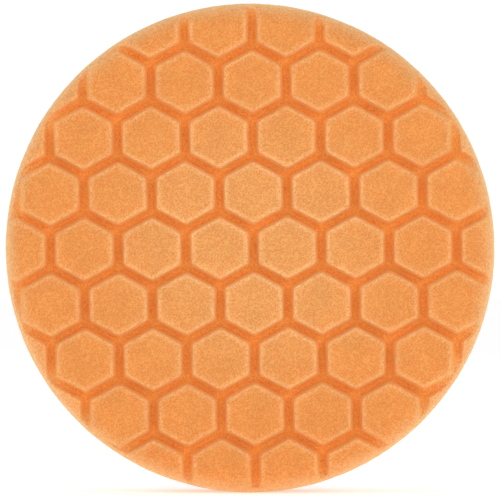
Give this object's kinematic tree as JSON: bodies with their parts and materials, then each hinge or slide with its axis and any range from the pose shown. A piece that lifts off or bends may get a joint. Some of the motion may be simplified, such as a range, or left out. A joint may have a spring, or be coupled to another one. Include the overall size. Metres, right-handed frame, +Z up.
{
  "type": "polishing pad",
  "caption": "Round open-cell foam polishing pad with a hexagon-cut working face, a rounded shoulder and a recessed hook-and-loop back.",
  "frame": {"origin": "centre of the loop face, on the pad's axis", "axes": "+Y along the pad's axis, out of the loop face towards the backing plate; the hexagon face looks along -Y; +Z up with the pad standing upright like a wheel; +X to the right as the hexagon face is seen"},
  "size_m": [0.165, 0.032, 0.165],
  "materials": {
    "foam": "open-cell polyurethane foam, orange, fully matte",
    "film": "set hot-melt film, translucent and slightly glossy",
    "knit": "warp-knitted nylon ground, melted at its cut edge",
    "pile": "brushed nylon loops"
  },
  "bodies": {
    "root": {"foam_body": "foam", "bond_film": "film", "loop_ground": "knit", "loop_pile": "pile"}
  },
  "joints": []
}
